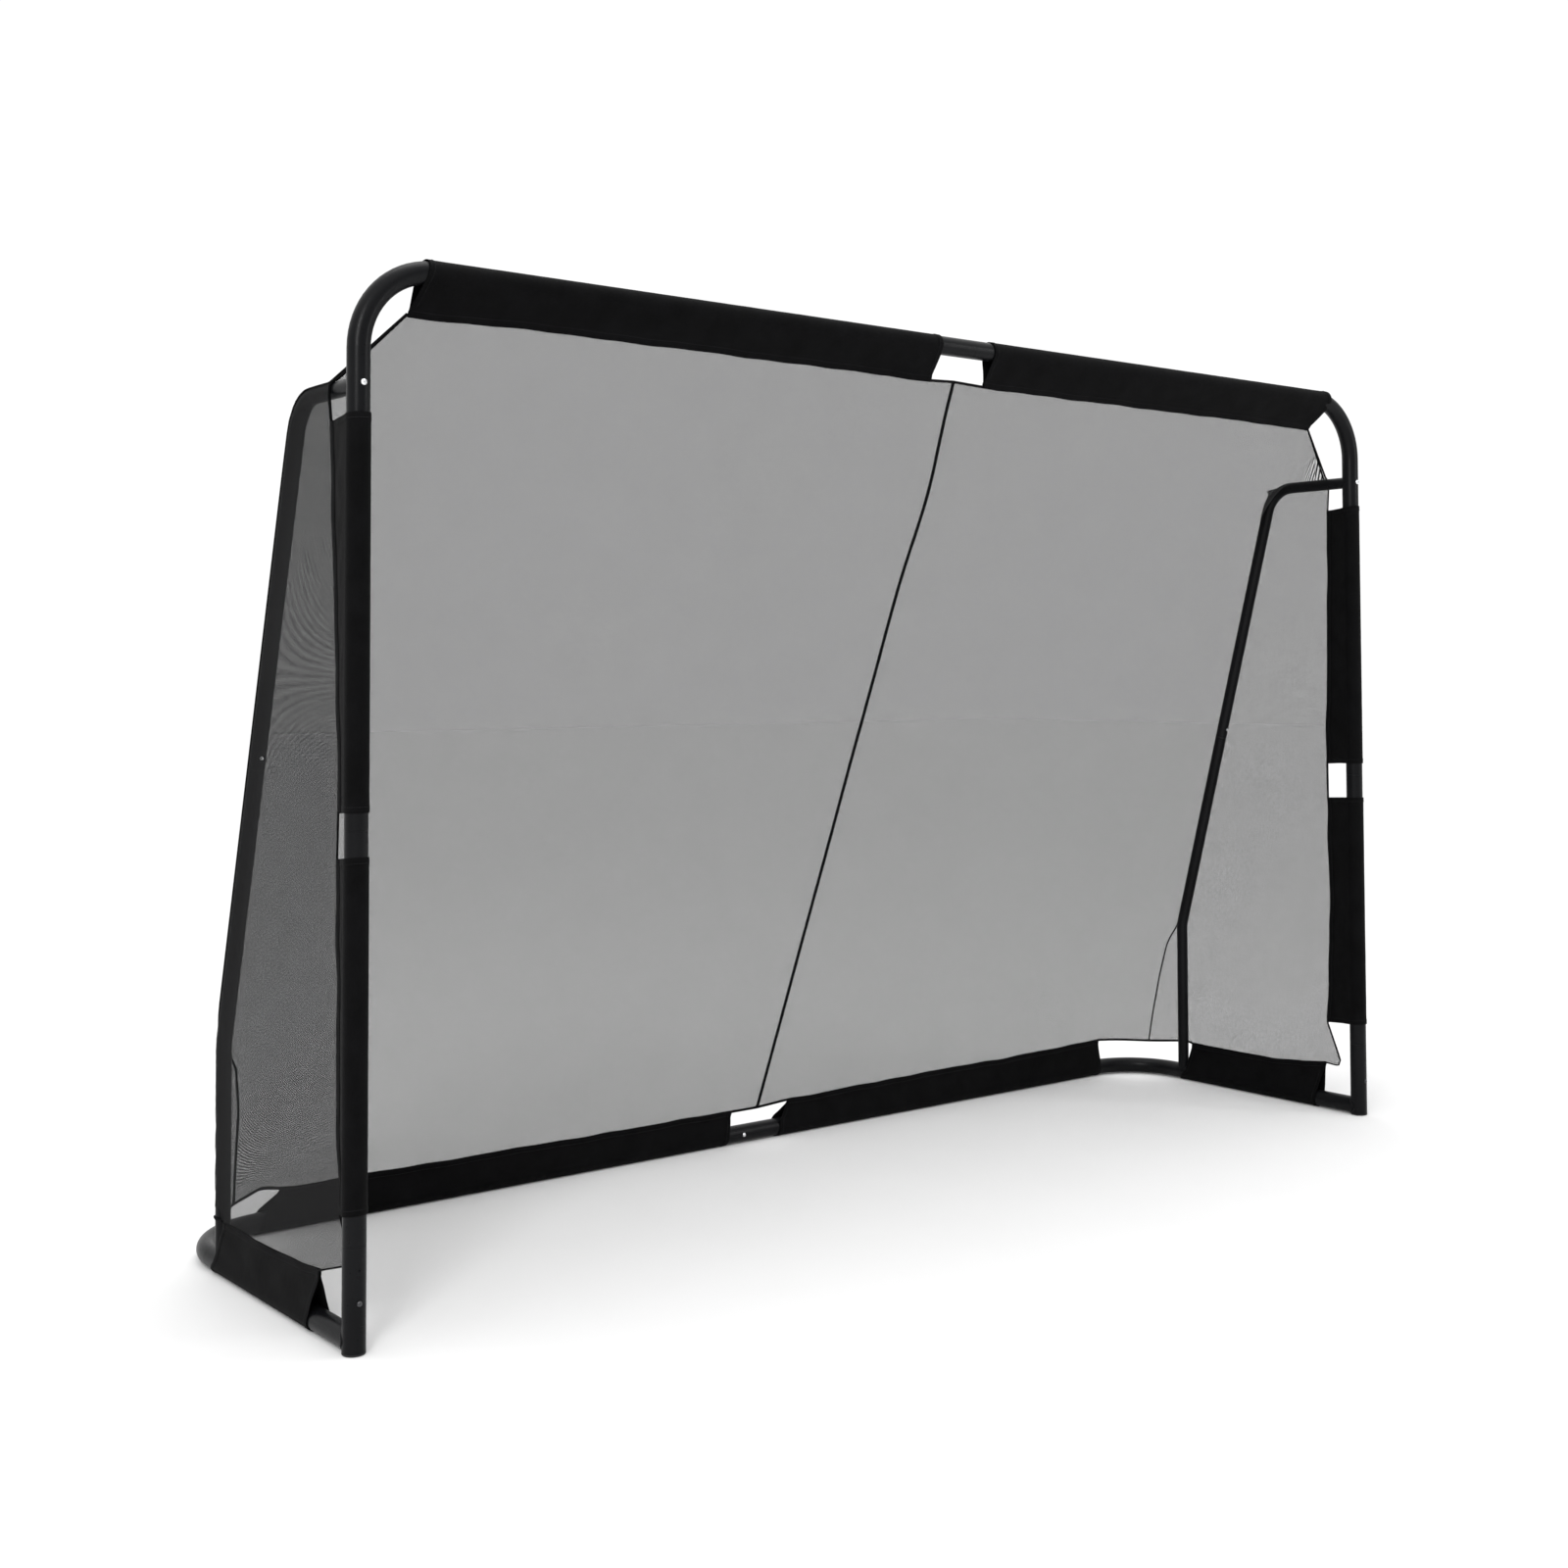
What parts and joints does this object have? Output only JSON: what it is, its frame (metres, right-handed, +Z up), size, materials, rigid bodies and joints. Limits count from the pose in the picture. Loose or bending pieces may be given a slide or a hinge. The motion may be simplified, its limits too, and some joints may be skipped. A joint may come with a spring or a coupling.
{
  "type": "football rebounder goal",
  "caption": "Free-standing steel-tube goal with sloping side braces and a fine mesh rebound net sewn to fabric sleeves that slide over the tubes.",
  "frame": {"origin": "on the ground, at the centre of the footprint", "axes": "+X to the right along the crossbar as seen from in front of the goal, +Y from the open front to the rear ground bar, +Z up"},
  "size_m": [2.4526, 0.7003, 1.6],
  "materials": {
    "frame_tube": "semi-gloss black powder coat",
    "cap_plastic": "moulded black plastic",
    "zinc_fasteners": "bright zinc plated",
    "button_steel": "bright zinc plated",
    "spring_steel": "plain spring steel",
    "sleeve_fabric": "black woven polyester",
    "net_mesh": "fine black polyester mesh",
    "binding": "black woven edge binding"
  },
  "bodies": {
    "goal": {"upper_frame_left": "frame_tube", "upper_frame_right": "frame_tube", "lower_post_left": "frame_tube", "lower_post_right": "frame_tube", "foot_socket_left": "frame_tube", "foot_socket_right": "frame_tube", "ground_frame_left": "frame_tube", "ground_frame_right": "frame_tube", "upper_brace_left": "frame_tube", "upper_brace_right": "frame_tube", "lower_brace_left": "frame_tube", "lower_brace_right": "frame_tube", "brace_spigot_left": "frame_tube", "brace_spigot_right": "frame_tube", "foot_cap_left": "cap_plastic", "foot_cap_right": "cap_plastic", "brace_insert_left": "zinc_fasteners", "brace_insert_right": "zinc_fasteners", "brace_bolt_left": "zinc_fasteners", "brace_bolt_right": "zinc_fasteners", "crossbar_button_spring": "spring_steel", "rear_bar_button_spring": "spring_steel", "post_button_spring_left": "spring_steel", "post_button_spring_right": "spring_steel", "foot_button_spring_left": "spring_steel", "foot_button_spring_right": "spring_steel", "brace_button_spring_left": "spring_steel", "brace_button_spring_right": "spring_steel", "crossbar_sleeve_left": "sleeve_fabric", "crossbar_sleeve_right": "sleeve_fabric", "upper_post_sleeve_left": "sleeve_fabric", "upper_post_sleeve_right": "sleeve_fabric", "lower_post_sleeve_left": "sleeve_fabric", "lower_post_sleeve_right": "sleeve_fabric", "side_rail_sleeve_left": "sleeve_fabric", "side_rail_sleeve_right": "sleeve_fabric", "rear_bar_sleeve_left": "sleeve_fabric", "rear_bar_sleeve_right": "sleeve_fabric", "back_net_left": "net_mesh", "back_net_right": "net_mesh", "side_net_left": "net_mesh", "side_net_right": "net_mesh", "middle_seam_tape": "binding", "corner_seam_left": "binding", "corner_seam_right": "binding", "edge_binding_left": "binding", "edge_binding_right": "binding"},
    "crossbar_button_body": {"crossbar_button": "button_steel"},
    "rear_bar_button_body": {"rear_bar_button": "button_steel"},
    "post_button_left_body": {"post_button_left": "button_steel"},
    "post_button_right_body": {"post_button_right": "button_steel"},
    "foot_button_left_body": {"foot_button_left": "button_steel"},
    "foot_button_right_body": {"foot_button_right": "button_steel"},
    "brace_button_left_body": {"brace_button_left": "button_steel"},
    "brace_button_right_body": {"brace_button_right": "button_steel"}
  },
  "joints": [
    {"name": "crossbar_button_press", "type": "slide", "parent": "goal", "child": "crossbar_button_body", "axis": [0, -1, 0], "range_m": [0, 0.0046], "stiffness_N_per_m": 1300, "springref_m": -0.003, "deforming": ["crossbar_button_spring"]},
    {"name": "rear_bar_button_press", "type": "slide", "parent": "goal", "child": "rear_bar_button_body", "axis": [0, 1, 0], "range_m": [0, 0.0046], "stiffness_N_per_m": 1300, "springref_m": -0.003, "deforming": ["rear_bar_button_spring"]},
    {"name": "post_button_press_left", "type": "slide", "parent": "goal", "child": "post_button_left_body", "axis": [0, -1, 0], "range_m": [0, 0.0046], "stiffness_N_per_m": 1300, "springref_m": -0.003, "deforming": ["post_button_spring_left"]},
    {"name": "post_button_press_right", "type": "slide", "parent": "goal", "child": "post_button_right_body", "axis": [0, -1, 0], "range_m": [0, 0.0046], "stiffness_N_per_m": 1300, "springref_m": -0.003, "deforming": ["post_button_spring_right"]},
    {"name": "foot_button_press_left", "type": "slide", "parent": "goal", "child": "foot_button_left_body", "axis": [0, 1, 0], "range_m": [0, 0.0046], "stiffness_N_per_m": 1300, "springref_m": -0.003, "deforming": ["foot_button_spring_left"]},
    {"name": "foot_button_press_right", "type": "slide", "parent": "goal", "child": "foot_button_right_body", "axis": [0, 1, 0], "range_m": [0, 0.0046], "stiffness_N_per_m": 1300, "springref_m": -0.003, "deforming": ["foot_button_spring_right"]},
    {"name": "brace_button_press_left", "type": "slide", "parent": "goal", "child": "brace_button_left_body", "axis": [0, 0.9644, 0.2645], "range_m": [0, 0.0046], "stiffness_N_per_m": 900, "springref_m": -0.003, "deforming": ["brace_button_spring_left"]},
    {"name": "brace_button_press_right", "type": "slide", "parent": "goal", "child": "brace_button_right_body", "axis": [0, 0.9644, 0.2645], "range_m": [0, 0.0046], "stiffness_N_per_m": 900, "springref_m": -0.003, "deforming": ["brace_button_spring_right"]}
  ]
}
